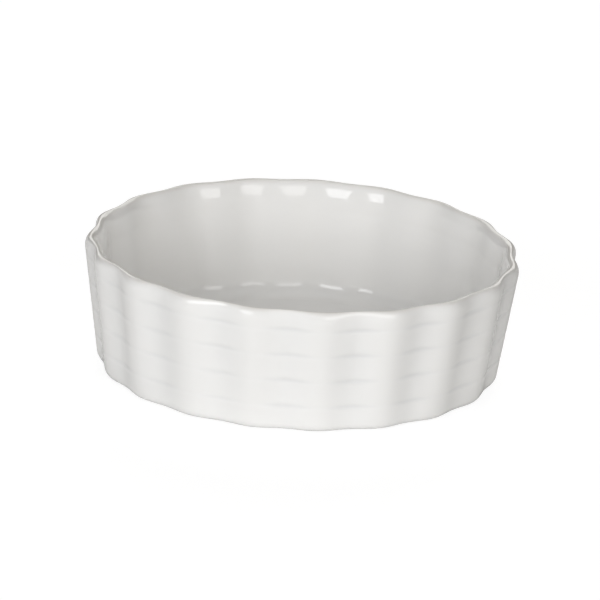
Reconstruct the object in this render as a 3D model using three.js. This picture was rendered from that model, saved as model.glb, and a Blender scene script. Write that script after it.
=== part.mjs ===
import * as THREE from 'three';

// Finished outline, measured on the flute crests, in millimetres
const RIM_DIAMETER = 120;
const HEIGHT = 35.7;
const WALL_LEAN_DEGREES = 8.4;
const WALL_THICKNESS = 3.7;
const FLOOR_THICKNESS = 2.5;
const CORNER_RADIUS = 2.8;
const FILLET_RADIUS = 5.2;

// Lip: its crest lies nearer the outer face, and the inner face flares up to it
const LIP_OUTER_WIDTH = 1.6;
const LIP_RISE = 2.8;
const FLARE_RISE = 8;

// Upright flutes, deepest on the upper half of the outside
const FLUTES = 19;
const FLUTE_DEPTH = 1.5;
const FOOT_FLUTE_DEPTH = 1.1;
const INSIDE_FLUTE_DEPTH = 0.8;

// Level grooves round the outside, with a plain collar between the top one and the lip
const GROOVES = 4;
const GROOVE_DEPTH = 0.3;
const GROOVE_WIDTH = 1.8;
const COLLAR_HEIGHT = 1.9;

// Foot ring round a shallow recess
const FOOT_WIDTH = 4;
const RECESS_DEPTH = 0.7;
const RECESS_BEVEL = 1.2;

// Glaze: fired coat, its bedding clearance, and the angle down the corner where it is wiped off
const GLAZE_THICKNESS = 0.4;
const GLAZE_CLEARANCE = 0.1;
const GLAZE_LINE_DEGREES = 66;

// Facets round one flute, and along each arc of the profile
const STEPS_PER_FLUTE = 5;
const ARC_STEPS = 3;

const lean = THREE.MathUtils.degToRad(WALL_LEAN_DEGREES);
const glazeLine = THREE.MathUtils.degToRad(GLAZE_LINE_DEGREES);
const quarterTurn = Math.PI / 2;

// Levels and radii that several faces share
const shoulder = HEIGHT - LIP_RISE;
const flareFoot = HEIGHT - FLARE_RISE;
const floorLevel = RECESS_DEPTH + FLOOR_THICKNESS;
const groovePitch = (shoulder - COLLAR_HEIGHT - GROOVE_WIDTH / 2) / GROOVES;
const crestRadius = RIM_DIAMETER / 2 - LIP_OUTER_WIDTH;

function outerRadius(height) {
  return RIM_DIAMETER / 2 - (shoulder - height) * Math.tan(lean);
}

function innerRadius(height) {
  return outerRadius(height) - WALL_THICKNESS / Math.cos(lean);
}

// Depth of the outside valleys, growing from the foot to half the height
function fluteDepth(height) {
  const share = THREE.MathUtils.clamp(height / (HEIGHT / 2), 0, 1);
  return THREE.MathUtils.lerp(FOOT_FLUTE_DEPTH, FLUTE_DEPTH, share);
}

// Centres of the arcs that touch the leaning wall and a level face
const cornerCentre = {
  radius: outerRadius(CORNER_RADIUS) - CORNER_RADIUS / Math.cos(lean),
  height: CORNER_RADIUS,
};
const filletCentre = {
  radius: innerRadius(floorLevel + FILLET_RADIUS) - FILLET_RADIUS / Math.cos(lean),
  height: floorLevel + FILLET_RADIUS,
};
const footOuter = cornerCentre.radius;
const footInner = footOuter - FOOT_WIDTH;
const recessRadius = footInner - RECESS_BEVEL;

// A profile point: radius and height on a flute crest, and how far the valleys dip in from there
function point(radius, height, dip = 0) {
  return { radius, height, dip };
}

// Points along an elliptical arc in the profile, with the dip given by the angle
function arc({ centre, across, up, from, to, dip }) {
  const points = [];
  for (let step = 0; step <= ARC_STEPS; step += 1) {
    const angle = THREE.MathUtils.lerp(from, to, step / ARC_STEPS);
    const radius = centre.radius + across * Math.cos(angle);
    const height = centre.height + up * Math.sin(angle);
    points.push(point(radius, height, dip(angle)));
  }
  return points;
}

// Outer corner above the foot, from the glaze line up to the wall
function cornerFace(depth) {
  return arc({
    centre: cornerCentre,
    across: CORNER_RADIUS - depth,
    up: CORNER_RADIUS - depth,
    from: -glazeLine,
    to: -lean,
    dip: () => FOOT_FLUTE_DEPTH,
  });
}

// Outer wall, where each groove has two edges and a bottom
function grooveFace(depth) {
  const setback = depth / Math.cos(lean);
  const points = [];
  for (let groove = 1; groove <= GROOVES; groove += 1) {
    const middle = groove * groovePitch;
    const lower = middle - GROOVE_WIDTH / 2;
    const upper = middle + GROOVE_WIDTH / 2;
    points.push(point(outerRadius(lower) - setback, lower, fluteDepth(lower)));
    points.push(point(outerRadius(middle) - setback - GROOVE_DEPTH, middle, fluteDepth(middle)));
    points.push(point(outerRadius(upper) - setback, upper, fluteDepth(upper)));
  }
  return points;
}

// Lip, over its crest from the outer face to the flare
function lipFace(depth) {
  const flareRun = crestRadius - innerRadius(flareFoot) - depth / Math.cos(lean);
  const outer = arc({
    centre: { radius: crestRadius, height: shoulder },
    across: LIP_OUTER_WIDTH - depth,
    up: LIP_RISE - depth,
    from: 0,
    to: quarterTurn,
    dip: (angle) => THREE.MathUtils.lerp(INSIDE_FLUTE_DEPTH, FLUTE_DEPTH, Math.cos(angle)),
  });
  const inner = arc({
    centre: { radius: crestRadius, height: flareFoot },
    across: flareRun,
    up: FLARE_RISE - depth,
    from: quarterTurn,
    to: Math.PI,
    dip: () => INSIDE_FLUTE_DEPTH,
  });
  return [...outer, ...inner.slice(1)];
}

// Fillet at the foot of the inner wall, and the level floor to the axis
function floorFace(depth) {
  const fillet = arc({
    centre: filletCentre,
    across: FILLET_RADIUS + depth,
    up: FILLET_RADIUS + depth,
    from: -lean,
    to: -quarterTurn,
    dip: (angle) => INSIDE_FLUTE_DEPTH * Math.cos(angle),
  });
  return [...fillet, point(0, floorLevel - depth)];
}

// The whole glazed face from the glaze line to the middle of the floor, set in from the finished face
function dishFace(depth) {
  return [
    ...cornerFace(depth),
    ...grooveFace(depth),
    ...lipFace(depth),
    ...floorFace(depth),
  ];
}

// Share of the flute depth at an angle round the axis: 1 in a valley, 0 on a crest
function valley(turn) {
  return (1 + Math.cos(FLUTES * turn)) / 2;
}

// A profile turned about +Z, with its flutes pressed in; one valley faces -Y
function flutedSolid(profile) {
  const segments = FLUTES * STEPS_PER_FLUTE;
  const outline = profile.map(({ radius, height }) => new THREE.Vector2(radius, height));
  const geometry = new THREE.LatheGeometry(outline, segments);
  const position = geometry.attributes.position;
  for (let i = 0; i < position.count; i += 1) {
    const { radius, height, dip } = profile[i % profile.length];
    const turn = (Math.floor(i / profile.length) / segments) * 2 * Math.PI;
    const reach = radius - dip * valley(turn);
    position.setXYZ(i, reach * Math.sin(turn), -reach * Math.cos(turn), height);
  }
  geometry.computeVertexNormals();
  return geometry;
}

function bareClay() {
  return new THREE.MeshStandardMaterial({ color: 0xe9e2d4, roughness: 0.85, metalness: 0 });
}

function whiteGlaze() {
  return new THREE.MeshStandardMaterial({ color: 0xf2f1ed, roughness: 0.12, metalness: 0 });
}

// Fired clay, bare only at the foot ring, whose outer edge follows the flutes
function dishBody() {
  const underside = [
    point(0, RECESS_DEPTH),
    point(recessRadius, RECESS_DEPTH),
    point(footInner, 0),
    point(footOuter, 0, FOOT_FLUTE_DEPTH),
  ];
  const backing = dishFace(GLAZE_THICKNESS + GLAZE_CLEARANCE);
  const mesh = new THREE.Mesh(flutedSolid([...underside, ...backing]), bareClay());
  mesh.name = 'dish_body';
  return mesh;
}

// Glaze over the outside, the lip and the inside
function glazeCoat() {
  const back = dishFace(GLAZE_THICKNESS).reverse();
  const front = dishFace(0);
  const mesh = new THREE.Mesh(flutedSolid([...back, ...front]), whiteGlaze());
  mesh.name = 'glaze_coat';
  return mesh;
}

// Glaze in the recess, with an edge that thins out short of the bevel
function undersideGlaze() {
  const ceiling = RECESS_DEPTH - GLAZE_CLEARANCE;
  const profile = [
    point(0, ceiling - GLAZE_THICKNESS),
    point(recessRadius - GLAZE_THICKNESS, ceiling - GLAZE_THICKNESS),
    point(recessRadius, ceiling),
    point(0, ceiling),
  ];
  const mesh = new THREE.Mesh(flutedSolid(profile), whiteGlaze());
  mesh.name = 'underside_glaze';
  return mesh;
}

const dish = new THREE.Group();
dish.add(dishBody(), glazeCoat(), undersideGlaze());

export default dish;
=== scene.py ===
import math

import bmesh
import bpy
import numpy as np
from mathutils import Matrix, Vector


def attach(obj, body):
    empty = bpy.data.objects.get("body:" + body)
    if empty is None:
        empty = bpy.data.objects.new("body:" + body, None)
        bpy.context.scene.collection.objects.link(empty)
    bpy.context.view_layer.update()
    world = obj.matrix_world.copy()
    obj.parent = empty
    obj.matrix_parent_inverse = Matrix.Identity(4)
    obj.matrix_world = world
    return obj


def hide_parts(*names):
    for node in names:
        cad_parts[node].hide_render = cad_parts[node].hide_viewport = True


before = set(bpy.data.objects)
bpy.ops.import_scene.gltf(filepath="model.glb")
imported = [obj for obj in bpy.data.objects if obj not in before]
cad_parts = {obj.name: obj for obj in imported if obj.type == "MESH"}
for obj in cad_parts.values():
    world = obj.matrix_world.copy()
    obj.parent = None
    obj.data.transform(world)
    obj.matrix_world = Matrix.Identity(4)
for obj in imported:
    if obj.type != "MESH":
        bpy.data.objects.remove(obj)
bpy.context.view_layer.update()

MM = 0.001

# Finished outline, measured on the flute crests
RIM_RADIUS = 60 * MM
HEIGHT = 35.7 * MM
WALL_LEAN = math.radians(8.4)
WALL_THICKNESS = 3.7 * MM
FLOOR_THICKNESS = 2.5 * MM
CORNER_RADIUS = 2.8 * MM
FILLET_RADIUS = 5.2 * MM
LIP_OUTER_WIDTH = 1.6 * MM
LIP_RISE = 2.8 * MM
FLARE_RISE = 8 * MM

# Flutes and grooves
FLUTES = 19
FLUTE_DEPTH = 1.7 * MM
FOOT_FLUTE_DEPTH = 1.1 * MM
INSIDE_FLUTE_DEPTH = 0.8 * MM
GROOVES = 4
GROOVE_DEPTH = 0.2 * MM
GROOVE_WIDTH = 1.8 * MM
GROOVE_SHARPNESS = 14
COLLAR_HEIGHT = 1.9 * MM

# Foot and glaze
FOOT_WIDTH = 4 * MM
RECESS_DEPTH = 0.7 * MM
RECESS_BEVEL = 1.2 * MM
GLAZE_THICKNESS = 0.4 * MM
GLAZE_CLEARANCE = 0.1 * MM
GLAZE_LINE = math.radians(66)
GLAZE_EDGE = 0.7 * MM

# Mesh steps: round a flute, along arcs, along shown, hidden and foot profiles, and across flat faces
STEPS_PER_FLUTE = 16
ARC_STEPS = 14
EDGE_STEPS = 6
SHOWN_STEP = 0.35 * MM
HIDDEN_STEP = 1.6 * MM
FOOT_STEP = 0.3 * MM
FLAT_STEP = 4 * MM

# Small slow departures from the true form that firing leaves
WARP_HEIGHT = 0.18 * MM
RIM_TILT = 0.33 * MM
WARP_RADIUS = 0.10 * MM

# How much the glaze pools, where 0.5 is its usual thickness; it thins over the top of the lip. The valleys'
# share is partly pooled glaze and partly painted shade
USUAL_POOL = 0.5
GROOVE_POOL = 0.35
VALLEY_POOL_AND_SHADE = 0.15
FILLET_POOL = 0.2
LIP_THINNING = 0.5
LIP_THIN_HEIGHT = 1.2 * MM

# Colours along the thickness of the glaze, thin first, whose thick end also gives the painted shade in the
# flute valleys, and along the grain of the clay
GLAZE_COLOURS = [
    (0.0, (0.83, 0.81, 0.775)),
    (0.45, (0.885, 0.878, 0.862)),
    (0.62, (0.885, 0.88, 0.868)),
    (1.0, (0.82, 0.82, 0.815)),
]
CLAY_COLOURS = [
    (0.0, (0.66, 0.62, 0.55)),
    (0.5, (0.76, 0.73, 0.68)),
    (1.0, (0.83, 0.81, 0.77)),
]

# Finish of both surfaces, over the range that a noise mostly keeps to
NOISE_SPAN = (0.3, 0.7)
GLAZE_ROUGHNESS = (0.02, 0.06)
GLAZE_INDEX = 1.62
CLAY_ROUGHNESS = (0.75, 0.95)

# Floor: its colour fades to the right over these metres; the camera sees a glow with a faint shade
FLOOR_HALF_WIDTH = 4.0
FLOOR_FADE = (0.04, 0.16)
FLOOR_COLOURS = (0.95, 0.65)
FLOOR_SHADE = 0.2
FLOOR_GLOW = 0.892

# Camera of the photograph, aimed a little above the middle of the dish
CAMERA_AZIMUTH = math.radians(2.95)
CAMERA_ELEVATION = math.radians(18.68)
CAMERA_ROLL = math.radians(2.9)
CAMERA_DISTANCE = 1.757
FRAME_WIDTH = 165.55 * MM
AIM_ABOVE_MIDDLE = 1.29 * MM
SENSOR_WIDTH = 36.0
CAMERA_REACH = 20

# Tints of the lights: daylight from the front, a warmer room round it
COOL = (0.975, 0.985, 1.0)
WARM = (1.0, 0.99, 0.97)
SURROUND = (1.0, 0.96, 0.9)
SURROUND_STRENGTH = 0.1

# Levels and radii that several faces share
SHOULDER = HEIGHT - LIP_RISE
FLARE_FOOT = HEIGHT - FLARE_RISE
FLOOR_LEVEL = RECESS_DEPTH + FLOOR_THICKNESS
CREST_RADIUS = RIM_RADIUS - LIP_OUTER_WIDTH
GROOVE_PITCH = (SHOULDER - COLLAR_HEIGHT - GROOVE_WIDTH / 2) / GROOVES
QUARTER = math.pi / 2


def outer_radius(height):
    return RIM_RADIUS - (SHOULDER - height) * math.tan(WALL_LEAN)


def inner_radius(height):
    return outer_radius(height) - WALL_THICKNESS / math.cos(WALL_LEAN)


CORNER_CENTRE = (outer_radius(CORNER_RADIUS) - CORNER_RADIUS / math.cos(WALL_LEAN), CORNER_RADIUS)
FILLET_LEVEL = FLOOR_LEVEL + FILLET_RADIUS
FILLET_CENTRE = (inner_radius(FILLET_LEVEL) - FILLET_RADIUS / math.cos(WALL_LEAN), FILLET_LEVEL)
FOOT_OUTER = CORNER_CENTRE[0]
FOOT_INNER = FOOT_OUTER - FOOT_WIDTH
RECESS_RADIUS = FOOT_INNER - RECESS_BEVEL

# Angles round the axis; one valley faces -Y
COLUMNS = FLUTES * STEPS_PER_FLUTE
TURNS = np.arange(COLUMNS) * 2 * math.pi / COLUMNS
VALLEY = (1 + np.cos(FLUTES * TURNS)) / 2

# The grooves are deepest in the valleys, and uneven from one side of the dish to the other
GROOVE_PRESS = (0.2 + 0.8 * VALLEY) * (0.9 + 0.3 * np.sin(TURNS + 0.2) + 0.12 * np.sin(5 * TURNS))

# The flutes are pressed in a little unevenly, and firing leaves slow waves in the radius and the rim
FLUTE_PRESS = VALLEY * (1 + 0.08 * np.sin(3 * TURNS + 0.7) + 0.05 * np.sin(7 * TURNS + 2.1))
RADIUS_WAVE = np.sin(2 * TURNS + 0.4)
LEVEL_WAVE = WARP_HEIGHT * np.cos(2 * TURNS + 0.46) - RIM_TILT * np.sin(TURNS)


# Profiles: rows of (radius, height, flute dip)

def arc(centre, across, up, start, end, dip, steps=ARC_STEPS):
    """Points along an elliptical arc, with the dip given by the angle."""
    angle = np.linspace(start, end, steps + 1)
    radius = centre[0] + across * np.cos(angle)
    height = centre[1] + up * np.sin(angle)
    return np.stack([radius, height, dip(angle)], axis=1)


def lip_dip(angle):
    """The flutes fade from their depth outside to their depth inside over the outer half of the lip."""
    return INSIDE_FLUTE_DEPTH + (FLUTE_DEPTH - INSIDE_FLUTE_DEPTH) * np.clip(np.cos(angle), 0, 1)


def dish_face(depth):
    """The glazed face from the glaze line over the lip to the end of the fillet, set in by depth."""
    flare_run = CREST_RADIUS - inner_radius(FLARE_FOOT) - depth / math.cos(WALL_LEAN)
    corner = arc(CORNER_CENTRE, CORNER_RADIUS - depth, CORNER_RADIUS - depth, -GLAZE_LINE, -WALL_LEAN,
                 lambda angle: np.full(len(angle), FOOT_FLUTE_DEPTH))
    middle = [[outer_radius(HEIGHT / 2) - depth / math.cos(WALL_LEAN), HEIGHT / 2, FLUTE_DEPTH]]
    lip = arc((CREST_RADIUS, SHOULDER), LIP_OUTER_WIDTH - depth, LIP_RISE - depth, 0, QUARTER, lip_dip)
    flare = arc((CREST_RADIUS, FLARE_FOOT), flare_run, FLARE_RISE - depth, QUARTER, math.pi, lip_dip)
    fillet = arc(FILLET_CENTRE, FILLET_RADIUS + depth, FILLET_RADIUS + depth, -WALL_LEAN, -QUARTER,
                 lambda angle: INSIDE_FLUTE_DEPTH * np.cos(angle))
    return np.concatenate([corner, middle, lip, flare[1:], fillet])


def travelled(points):
    """Distance along a profile to each of its points."""
    steps = np.hypot(np.diff(points[:, 0]), np.diff(points[:, 1]))
    return np.concatenate([[0.0], np.cumsum(steps)])


def evenly(points, step):
    """The same profile with points a steady step apart."""
    along = travelled(points)
    wanted = np.linspace(0, along[-1], max(2, round(along[-1] / step)) + 1)
    return np.stack([np.interp(wanted, along, points[:, k]) for k in range(3)], axis=1)


def soften(points, passes):
    """Rounds small kinks off a profile, leaving its ends where they are."""
    for _ in range(passes):
        points = points.copy()
        points[1:-1] = (points[:-2] + 2 * points[1:-1] + points[2:]) / 4
    return points


def flat_rings(outer, level):
    """Rings of a level face, from its edge in towards the axis."""
    count = max(2, round(outer / FLAT_STEP))
    radius = outer * (1 - np.arange(1, count) / count)
    return np.stack([radius, np.full(count - 1, level), np.zeros(count - 1)], axis=1)


# Skin: profile rows turned about the axis

def groove_share(height):
    """1 at the bottom of a level groove, 0 half a pitch away from it."""
    nearest = np.clip(np.round(height / GROOVE_PITCH), 1, GROOVES) * GROOVE_PITCH
    away = np.clip(np.abs(height - nearest) / (GROOVE_PITCH / 2), 0, 1)
    return ((1 + np.cos(math.pi * away)) / 2) ** GROOVE_SHARPNESS


def before_crest(profile):
    """1 on the rows from the foot to the crest of the lip, 0 on the rows inside."""
    return (np.arange(len(profile)) <= np.argmax(profile[:, 1])).astype(float)


def skin(profile, grooved):
    """Points of each row round the axis, with flutes, grooves and a slow firing warp."""
    radius, height, dip = (profile[:, k][:, None] for k in range(3))
    reach = radius - dip * FLUTE_PRESS
    groove = (grooved * groove_share(profile[:, 1]))[:, None]
    reach = reach - GROOVE_DEPTH * groove * GROOVE_PRESS
    rise = height / HEIGHT
    spread = radius / RIM_RADIUS
    reach = reach + WARP_RADIUS * rise * spread * RADIUS_WAVE
    level = height + rise * spread * LEVEL_WAVE
    return np.stack([reach * np.sin(TURNS), -reach * np.cos(TURNS), level], axis=2)


def lofted(name, runs, closed):
    """A solid from runs of rows round the axis.

    An open one has a single run, capped on the axis at both ends. A closed one has two: the end of the second
    joins the start of the first, and both are capped on the axis where they meet.
    """
    rows = np.concatenate(runs)
    count = len(rows)
    here = np.arange(COLUMNS)
    following = (here + 1) % COLUMNS
    faces = []

    def strip(a, b):
        lower = a * COLUMNS
        upper = b * COLUMNS
        quad = np.stack([lower + here, lower + following, upper + following, upper + here], 1)
        faces.extend(quad.tolist())

    def fan(row, pole):
        wedge = np.stack([row * COLUMNS + here, row * COLUMNS + following, np.full(COLUMNS, pole)], 1)
        faces.extend(wedge.tolist())

    first = 0
    poles = []
    for run in runs:
        last = first + len(run) - 1
        for row in range(first, last):
            strip(row, row + 1)
        first = last + 1
    if closed:
        strip(count - 1, 0)
        ends = (len(runs[0]) - 1, len(runs[0]))
    else:
        ends = (0, count - 1)
    for row in ends:
        fan(row, count * COLUMNS + len(poles))
        poles.append((0.0, 0.0, float(rows[row][:, 2].mean())))
    mesh = bpy.data.meshes.new(name)
    mesh.from_pydata(rows.reshape(-1, 3).tolist() + poles, [], faces)
    shape = bmesh.new()
    shape.from_mesh(mesh)
    bmesh.ops.recalc_face_normals(shape, faces=shape.faces)
    shape.to_mesh(mesh)
    shape.free()
    mesh.shade_smooth()
    piece = bpy.data.objects.new(name, mesh)
    bpy.context.scene.collection.objects.link(piece)
    return piece


# Pieces

def shown_profile():
    """The finished face, whose glaze rolls off to nothing at the glaze line."""
    face = soften(evenly(dish_face(0), SHOWN_STEP), passes=4)
    along = travelled(face)
    rolled = np.clip(along / GLAZE_EDGE, 0, 1)
    missing = GLAZE_THICKNESS * (1 - np.sqrt(1 - (1 - rolled) ** 2))
    inward = np.stack([CORNER_CENTRE[0] - face[:, 0], CORNER_CENTRE[1] - face[:, 1]], axis=1)
    inward = inward / np.linalg.norm(inward, axis=1)[:, None]
    face[:, :2] = face[:, :2] + missing[:, None] * inward
    return face


def glaze_pool_and_shade(profile):
    """How thick the glaze lies: more in grooves, valleys and the fillet, less on the lip; in the valleys part
    of the darkening is painted shade.
    """
    height = profile[:, 1]
    outside = before_crest(profile)
    groove = (outside * groove_share(height))[:, None] * GROOVE_PRESS
    low = np.clip((FILLET_LEVEL - height) / FILLET_RADIUS, 0, 1) * (1 - outside)
    lip = np.clip((height - (HEIGHT - LIP_THIN_HEIGHT)) / LIP_THIN_HEIGHT, 0, 1)
    # The valleys' share is partly pooled glaze and partly painted shade
    valley_pool_and_shade = (profile[:, 2] / FLUTE_DEPTH)[:, None] * VALLEY * VALLEY_POOL_AND_SHADE
    level = (FILLET_POOL * low - LIP_THINNING * lip)[:, None]
    return np.clip(USUAL_POOL + GROOVE_POOL * groove + valley_pool_and_shade + level, 0, 1)


def make_glaze_coat():
    face = shown_profile()
    front = np.concatenate([face, flat_rings(face[-1, 0], face[-1, 1])])
    hidden = evenly(dish_face(GLAZE_THICKNESS), HIDDEN_STEP)
    back = np.concatenate([hidden, flat_rings(hidden[-1, 0], hidden[-1, 1])])[::-1]
    runs = [skin(front, before_crest(front)), skin(back, before_crest(back[::-1])[::-1])]
    piece = lofted("glaze_skin", runs, closed=True)
    pool_and_shade_values = np.full(len(piece.data.vertices), USUAL_POOL)
    shown = glaze_pool_and_shade(front).ravel()
    pool_and_shade_values[:len(shown)] = shown
    # These values hold the glaze's pooling and, in the flute valleys, painted shade
    attribute = piece.data.attributes.new("glaze_pool_and_shade", "FLOAT", "POINT")
    attribute.data.foreach_set("value", pool_and_shade_values)
    return piece


def make_clay_body():
    foot = np.array([
        (RECESS_RADIUS, RECESS_DEPTH, 0),
        (FOOT_INNER, 0, 0),
        (FOOT_OUTER, 0, FOOT_FLUTE_DEPTH),
        dish_face(GLAZE_THICKNESS + GLAZE_CLEARANCE)[0],
    ])
    foot = soften(evenly(foot, FOOT_STEP), passes=2)
    recess = flat_rings(foot[0, 0], foot[0, 1])[::-1]
    face = evenly(dish_face(GLAZE_THICKNESS + GLAZE_CLEARANCE), HIDDEN_STEP)
    floor = flat_rings(face[-1, 0], face[-1, 1])
    profile = np.concatenate([recess, foot, face[1:], floor])
    return lofted("clay_body", [skin(profile, before_crest(profile))], closed=False)


def make_underside_glaze():
    ceiling = RECESS_DEPTH - GLAZE_CLEARANCE
    edge = arc((RECESS_RADIUS - GLAZE_EDGE, ceiling), GLAZE_EDGE, GLAZE_THICKNESS, -QUARTER, 0,
               lambda angle: 0 * angle, steps=EDGE_STEPS)
    under = flat_rings(edge[0, 0], edge[0, 1])[::-1]
    over = flat_rings(edge[-1, 0], ceiling)
    profile = np.concatenate([under, edge, over])
    return lofted("underside_glaze_patch", [skin(profile, 0 * profile[:, 0])], closed=False)


# Materials

def new_material(name):
    material = bpy.data.materials.new(name)
    material.use_nodes = True
    nodes = material.node_tree.nodes
    return material, nodes, material.node_tree.links, nodes["Principled BSDF"]


def noise(nodes, links, coordinates, scale, detail):
    node = nodes.new("ShaderNodeTexNoise")
    node.inputs["Scale"].default_value = scale
    node.inputs["Detail"].default_value = detail
    links.new(coordinates, node.inputs["Vector"])
    return node.outputs["Fac"]


def ranged(nodes, links, value, low, high, to_low, to_high):
    node = nodes.new("ShaderNodeMapRange")
    node.inputs["From Min"].default_value = low
    node.inputs["From Max"].default_value = high
    node.inputs["To Min"].default_value = to_low
    node.inputs["To Max"].default_value = to_high
    links.new(value, node.inputs["Value"])
    return node.outputs["Result"]


def ramp(nodes, links, value, stops):
    node = nodes.new("ShaderNodeValToRGB")
    elements = node.color_ramp.elements
    while len(elements) < len(stops):
        elements.new(0.5)
    for element, (position, colour) in zip(elements, stops):
        element.position = position
        element.color = (*colour, 1)
    links.new(value, node.inputs["Fac"])
    return node.outputs["Color"]


def bumped(nodes, links, height, distance, strength, normal=None):
    node = nodes.new("ShaderNodeBump")
    node.inputs["Distance"].default_value = distance
    node.inputs["Strength"].default_value = strength
    links.new(height, node.inputs["Height"])
    if normal is not None:
        links.new(normal, node.inputs["Normal"])
    return node.outputs["Normal"]


def glaze_material():
    """White glaze: warm where thin on the lip, cooler where it lies thick, a little darker in the flute
    valleys as painted shade, with a soft ripple in its gloss.
    """
    material, nodes, links, shader = new_material("white_glaze_gloss")
    coordinates = nodes.new("ShaderNodeTexCoord").outputs["Object"]
    # This attribute darkens the flute valleys as painted shade, besides the glaze's pooling
    pool_and_shade = nodes.new("ShaderNodeAttribute")
    pool_and_shade.attribute_name = "glaze_pool_and_shade"
    drift = noise(nodes, links, coordinates, scale=45, detail=3)
    shifted = nodes.new("ShaderNodeMath")
    shifted.operation = "MULTIPLY_ADD"
    links.new(drift, shifted.inputs[0])
    shifted.inputs[1].default_value = 0.3
    shifted.inputs[2].default_value = -0.15
    pooling_and_shade = nodes.new("ShaderNodeMath")
    pooling_and_shade.operation = "ADD"
    links.new(pool_and_shade.outputs["Fac"], pooling_and_shade.inputs[0])
    links.new(shifted.outputs[0], pooling_and_shade.inputs[1])
    links.new(ramp(nodes, links, pooling_and_shade.outputs[0], GLAZE_COLOURS), shader.inputs["Base Color"])
    smears = noise(nodes, links, coordinates, scale=130, detail=4)
    links.new(ranged(nodes, links, smears, *NOISE_SPAN, *GLAZE_ROUGHNESS), shader.inputs["Roughness"])
    waves = noise(nodes, links, coordinates, scale=110, detail=1)
    ripple = bumped(nodes, links, waves, distance=0.25 * MM, strength=0.14)
    dimples = noise(nodes, links, coordinates, scale=900, detail=2)
    peel = bumped(nodes, links, dimples, distance=0.02 * MM, strength=0.06, normal=ripple)
    links.new(peel, shader.inputs["Normal"])
    shader.inputs["IOR"].default_value = GLAZE_INDEX
    return material


def clay_material():
    """Bare fired clay of the foot: matte, fine grained and a little patchy."""
    material, nodes, links, shader = new_material("bare_clay_matte")
    coordinates = nodes.new("ShaderNodeTexCoord").outputs["Object"]
    grain = noise(nodes, links, coordinates, scale=1800, detail=6)
    patches = noise(nodes, links, coordinates, scale=160, detail=3)
    mixed = nodes.new("ShaderNodeMath")
    mixed.operation = "ADD"
    links.new(grain, mixed.inputs[0])
    links.new(patches, mixed.inputs[1])
    spread = ranged(nodes, links, mixed.outputs[0], 0.6, 1.4, 0, 1)
    links.new(ramp(nodes, links, spread, CLAY_COLOURS), shader.inputs["Base Color"])
    links.new(ranged(nodes, links, patches, *NOISE_SPAN, *CLAY_ROUGHNESS), shader.inputs["Roughness"])
    links.new(bumped(nodes, links, grain, distance=0.05 * MM, strength=0.6), shader.inputs["Normal"])
    return material


# Stage: a white floor that keeps a faint shadow, and a white surround

def floor_material():
    """White to the camera; what it lights sees its own colour, which gives less light back from the right."""
    material = bpy.data.materials.new("floor_white")
    material.use_nodes = True
    nodes, links = material.node_tree.nodes, material.node_tree.links
    nodes.clear()
    output = nodes.new("ShaderNodeOutputMaterial")
    lit = nodes.new("ShaderNodeBsdfDiffuse")
    across = nodes.new("ShaderNodeSeparateXYZ")
    links.new(nodes.new("ShaderNodeTexCoord").outputs["Object"], across.inputs[0])
    returned = ranged(nodes, links, across.outputs["X"], *FLOOR_FADE, *FLOOR_COLOURS)
    links.new(returned, lit.inputs["Color"])
    shaded = nodes.new("ShaderNodeBsdfDiffuse")
    shaded.inputs["Color"].default_value = (FLOOR_SHADE, FLOOR_SHADE, FLOOR_SHADE, 1)
    glow = nodes.new("ShaderNodeEmission")
    glow.inputs["Strength"].default_value = FLOOR_GLOW
    white = nodes.new("ShaderNodeAddShader")
    links.new(shaded.outputs[0], white.inputs[0])
    links.new(glow.outputs[0], white.inputs[1])
    choose = nodes.new("ShaderNodeMixShader")
    path = nodes.new("ShaderNodeLightPath")
    links.new(path.outputs["Is Camera Ray"], choose.inputs["Fac"])
    links.new(lit.outputs[0], choose.inputs[1])
    links.new(white.outputs[0], choose.inputs[2])
    links.new(choose.outputs[0], output.inputs["Surface"])
    return material


def make_floor():
    mesh = bpy.data.meshes.new("floor")
    half = FLOOR_HALF_WIDTH
    corners = [(-half, -half, 0), (half, -half, 0), (half, half, 0), (-half, half, 0)]
    mesh.from_pydata(corners, [], [(0, 1, 2, 3)])
    floor = bpy.data.objects.new("floor", mesh)
    bpy.context.scene.collection.objects.link(floor)
    mesh.materials.append(floor_material())


def make_world():
    world = bpy.data.worlds.new("studio")
    bpy.context.scene.world = world
    world.use_nodes = True
    background = world.node_tree.nodes["Background"]
    background.inputs["Color"].default_value = (*SURROUND, 1)
    background.inputs["Strength"].default_value = SURROUND_STRENGTH


def aimed(location, target):
    """A turn that points an object's -Z from its location to a target, with its Y up."""
    return (Vector(target) - Vector(location)).to_track_quat("-Z", "Y")


def around(azimuth, elevation, distance):
    """A point seen from the origin at an azimuth from -Y towards +X and an elevation, in degrees."""
    a, e = math.radians(azimuth), math.radians(elevation)
    return Vector((math.sin(a) * math.cos(e), -math.cos(a) * math.cos(e), math.sin(e))) * distance


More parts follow.
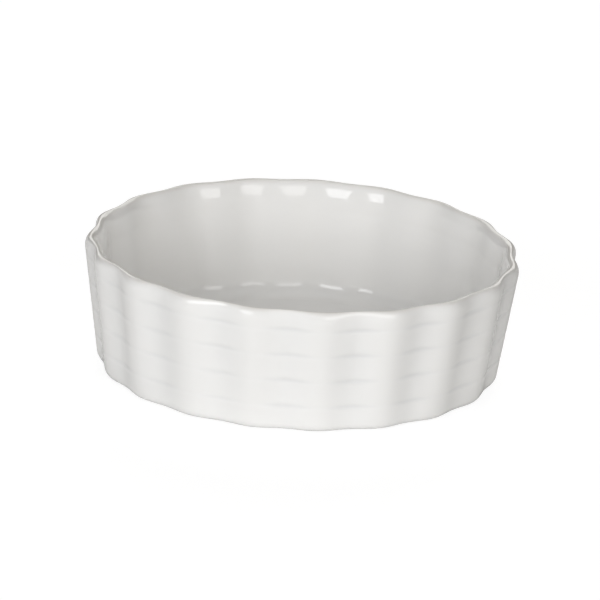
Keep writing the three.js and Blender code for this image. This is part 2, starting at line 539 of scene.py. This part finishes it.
def make_softbox(name, azimuth, elevation, distance, width, height, power, colour):
    """A rectangular light turned to the dish: angles in degrees, lengths in metres, power in watts."""
    light = bpy.data.lights.new(name, "AREA")
    light.shape = "RECTANGLE"
    light.size = width
    light.size_y = height
    light.energy = power
    light.color = colour
    lamp = bpy.data.objects.new(name, light)
    lamp.location = around(azimuth, elevation, distance)
    lamp.rotation_mode = "QUATERNION"
    lamp.rotation_quaternion = aimed(lamp.location, (0, 0, HEIGHT / 2))
    bpy.context.scene.collection.objects.link(lamp)
    return lamp


def make_camera():
    view = bpy.data.cameras.new("photo_camera")
    view.sensor_width = SENSOR_WIDTH
    view.lens = SENSOR_WIDTH * CAMERA_DISTANCE / FRAME_WIDTH
    view.clip_end = CAMERA_REACH
    camera = bpy.data.objects.new("photo_camera", view)
    offset = around(math.degrees(CAMERA_AZIMUTH), math.degrees(CAMERA_ELEVATION), CAMERA_DISTANCE)
    turn = aimed(offset, (0, 0, 0)).to_matrix() @ Matrix.Rotation(CAMERA_ROLL, 3, "Z")
    aim = Vector((0, 0, HEIGHT / 2)) + AIM_ABOVE_MIDDLE * (turn @ Vector((0, 1, 0)))
    camera.matrix_world = Matrix.Translation(aim + offset) @ turn.to_4x4()
    bpy.context.scene.collection.objects.link(camera)
    bpy.context.scene.camera = camera


# Assembly

def dress(piece, material, node):
    """Gives a piece its material and slot, hides the node that it stands for, and attaches it to the root
    body.
    """
    piece.data.materials.append(material)
    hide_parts(node)
    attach(piece, "root")


glaze = glaze_material()
dress(make_glaze_coat(), glaze, "glaze_coat")
dress(make_clay_body(), clay_material(), "dish_body")
dress(make_underside_glaze(), glaze, "underside_glaze")

make_floor()
make_world()

# Two windows that show in the glaze, a fill in front, a light above, and a thin edge and a fill from behind
make_softbox("left_softbox", -35.5, 20, 2.2, 1.06, 1.08, 11.7, COOL)
make_softbox("right_softbox", 34, 21.5, 2.2, 1.43, 1.28, 12, WARM)
make_softbox("front_fill", -3, 13, 3.0, 3.0, 1.3, 33, COOL).visible_glossy = False
make_softbox("top_fill", 0, 85, 2.4, 4.4, 1.6, 10.5, WARM)
make_softbox("back_edge", 180, 29, 2.2, 2.6, 0.86, 12, WARM).visible_diffuse = False
make_softbox("back_fill", 180, 24, 3.0, 1.2, 2.0, 42, WARM).visible_glossy = False
make_camera()
bpy.context.scene.view_settings.view_transform = "Standard"
